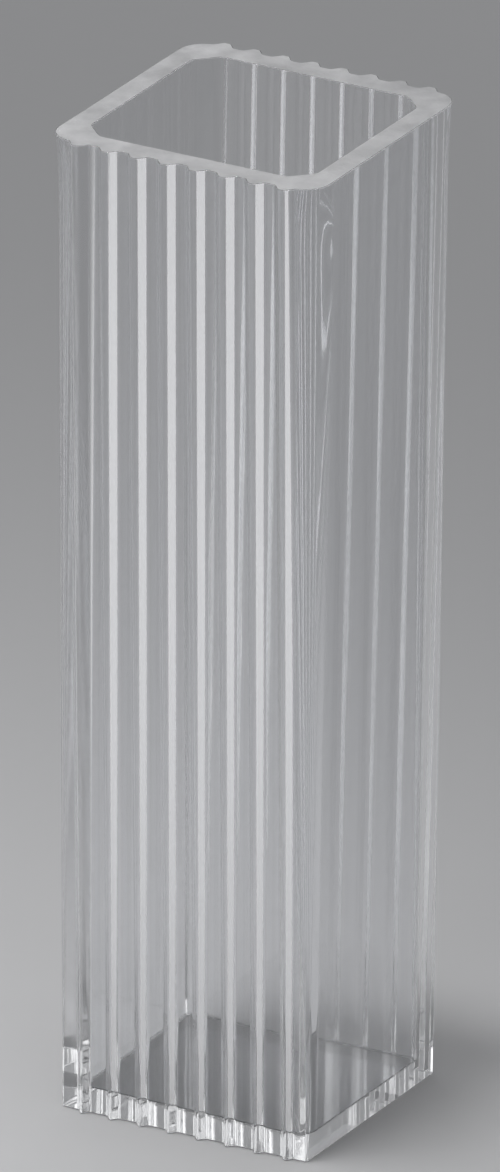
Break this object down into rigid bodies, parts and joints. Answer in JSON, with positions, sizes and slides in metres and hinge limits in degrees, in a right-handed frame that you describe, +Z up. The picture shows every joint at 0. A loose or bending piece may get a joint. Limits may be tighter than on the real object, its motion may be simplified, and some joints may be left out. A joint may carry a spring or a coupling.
{
  "type": "cuvette",
  "caption": "Clear square cuvette, open at the top, with two smooth window walls, two ribbed grip walls, rounded corners and a flat base to stand on.",
  "frame": {"origin": "middle of the flat base", "axes": "+Z up the well to the open rim, +X and -X out of the clear windows, +Y and -Y out of the ribbed walls"},
  "size_m": [0.0122, 0.0126, 0.0416],
  "materials": {
    "clear_plastic": "clear colourless moulded polystyrene, glossy faces, cut rim slightly frosted"
  },
  "bodies": {
    "root": {"cuvette": "clear_plastic"}
  },
  "joints": []
}
